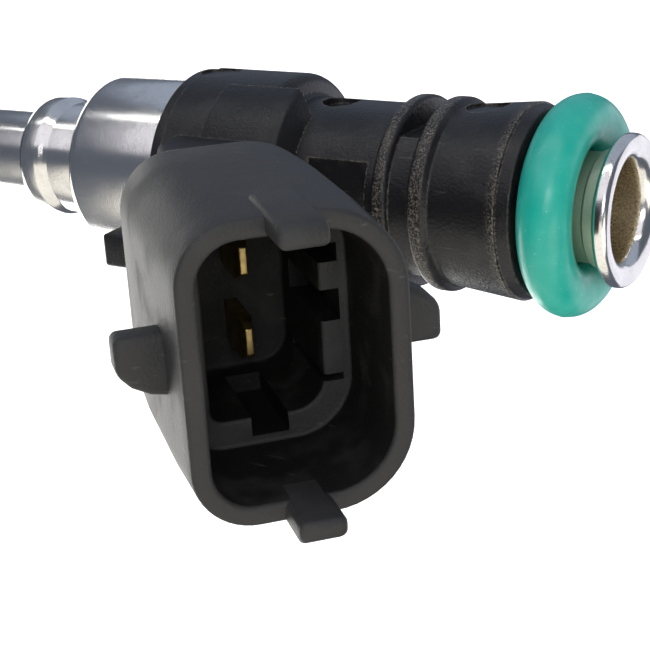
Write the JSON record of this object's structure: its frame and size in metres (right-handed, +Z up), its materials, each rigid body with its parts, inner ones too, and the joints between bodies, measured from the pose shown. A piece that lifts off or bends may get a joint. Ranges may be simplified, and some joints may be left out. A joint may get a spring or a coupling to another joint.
{
  "type": "fuel injector",
  "caption": "Port fuel injector with a long inlet, a leaning side connector, seal rings, a stepped steel housing and an extended tip.",
  "frame": {"origin": "on the injector's axis, in the plane of the nozzle's lower face", "axes": "+Z up the injector's axis towards the fuel inlet; the connector leans out towards -Y; X is across the injector, symmetric but for the keys and lugs"},
  "size_m": [0.0168, 0.0434, 0.0727],
  "materials": {
    "body_plastic": "dark glass-filled nylon, satin where it is worn, fine grain",
    "cap_plastic": "dark moulded plastic",
    "bobbin_plastic": "natural plastic",
    "filter_plastic": "natural plastic",
    "seal_rubber": "teal fluoro rubber, satin",
    "drawn_steel": "drawn stainless steel with a fine grain",
    "magnet_steel": "turned magnetic steel",
    "spring_steel": "bright spring steel",
    "copper_wire": "enamelled copper wire",
    "brass": "tinned brass"
  },
  "bodies": {
    "housing": {"overmold_body": "body_plastic", "terminal_pin_a": "brass", "terminal_pin_b": "brass", "inlet_tube": "drawn_steel", "upper_o_ring": "seal_rubber", "filter_ring": "brass", "filter_cage": "filter_plastic", "filter_mesh": "spring_steel", "magnet_housing": "drawn_steel", "yoke_washer": "magnet_steel", "coil_bobbin": "bobbin_plastic", "coil_winding": "copper_wire", "inner_pole": "magnet_steel", "adjusting_sleeve": "brass", "return_spring": "spring_steel", "valve_sleeve": "drawn_steel", "bead_collar": "drawn_steel", "ball_guide": "magnet_steel", "valve_seat": "magnet_steel", "orifice_plate": "spring_steel", "ring_stop": "cap_plastic", "lower_o_ring": "seal_rubber", "nozzle_cap": "cap_plastic"},
    "needle": {"armature": "magnet_steel", "needle_tube": "drawn_steel", "valve_ball": "spring_steel"}
  },
  "joints": [
    {"name": "needle_lift", "type": "slide", "parent": "housing", "child": "needle", "axis": [0, 0, 1], "range_m": [0, 0.00008], "stiffness_N_per_m": 3000, "springref_m": -0.001, "deforming": ["return_spring"]}
  ]
}
